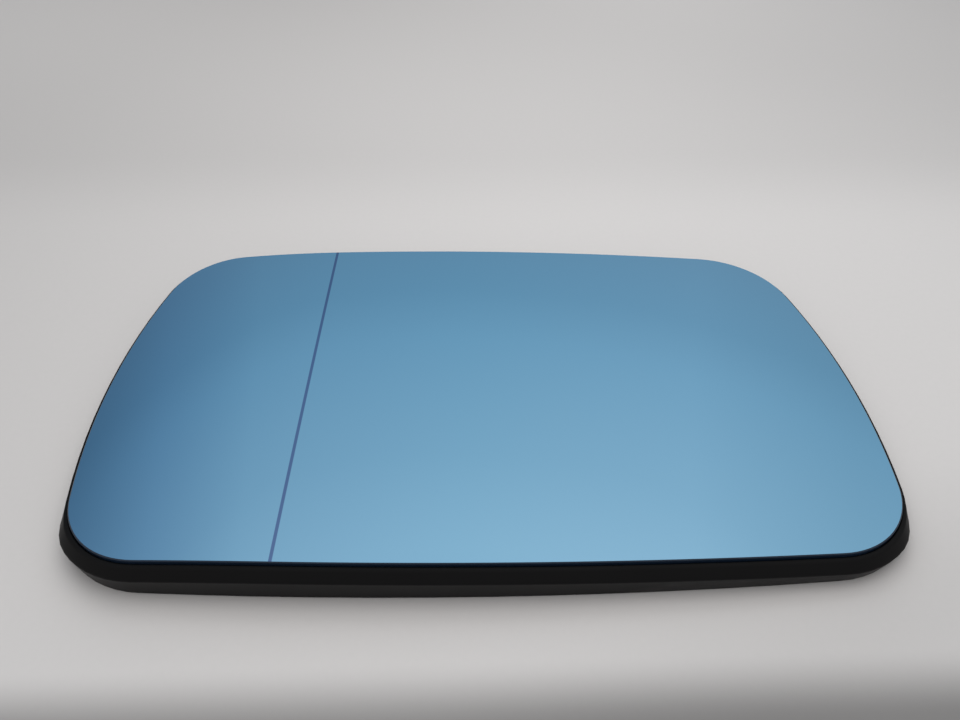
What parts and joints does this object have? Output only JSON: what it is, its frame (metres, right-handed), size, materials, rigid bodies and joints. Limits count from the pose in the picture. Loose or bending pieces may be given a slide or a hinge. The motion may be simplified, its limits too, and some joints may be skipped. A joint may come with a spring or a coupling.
{
  "type": "door mirror glass",
  "caption": "Domed left-hand door mirror glass with a curved outer zone on a heated plastic backing plate with a snap ring on its back.",
  "frame": {"origin": "middle of the plate at floor level, under the foot of the rim", "axes": "+Z the way the mirror faces, +Y its upper edge, +X the end next to the door; the dividing line stands towards -X"},
  "size_m": [0.1746, 0.1054, 0.009],
  "materials": {
    "plate": "moulded black plastic, satin",
    "glass": "blue-tinted mirror",
    "film": "thin printed film",
    "track": "printed silver track",
    "foam": "pale closed-cell foam",
    "terminal": "tinned brass",
    "rivet": "plain"
  },
  "bodies": {
    "root": {"backing_plate": "plate", "mirror_glass": "glass", "heater_film": "film", "heater_track": "track", "foam_pad": "foam", "terminal_inner": "terminal", "terminal_outer": "terminal", "rivet_inner": "rivet", "rivet_outer": "rivet"}
  },
  "joints": []
}
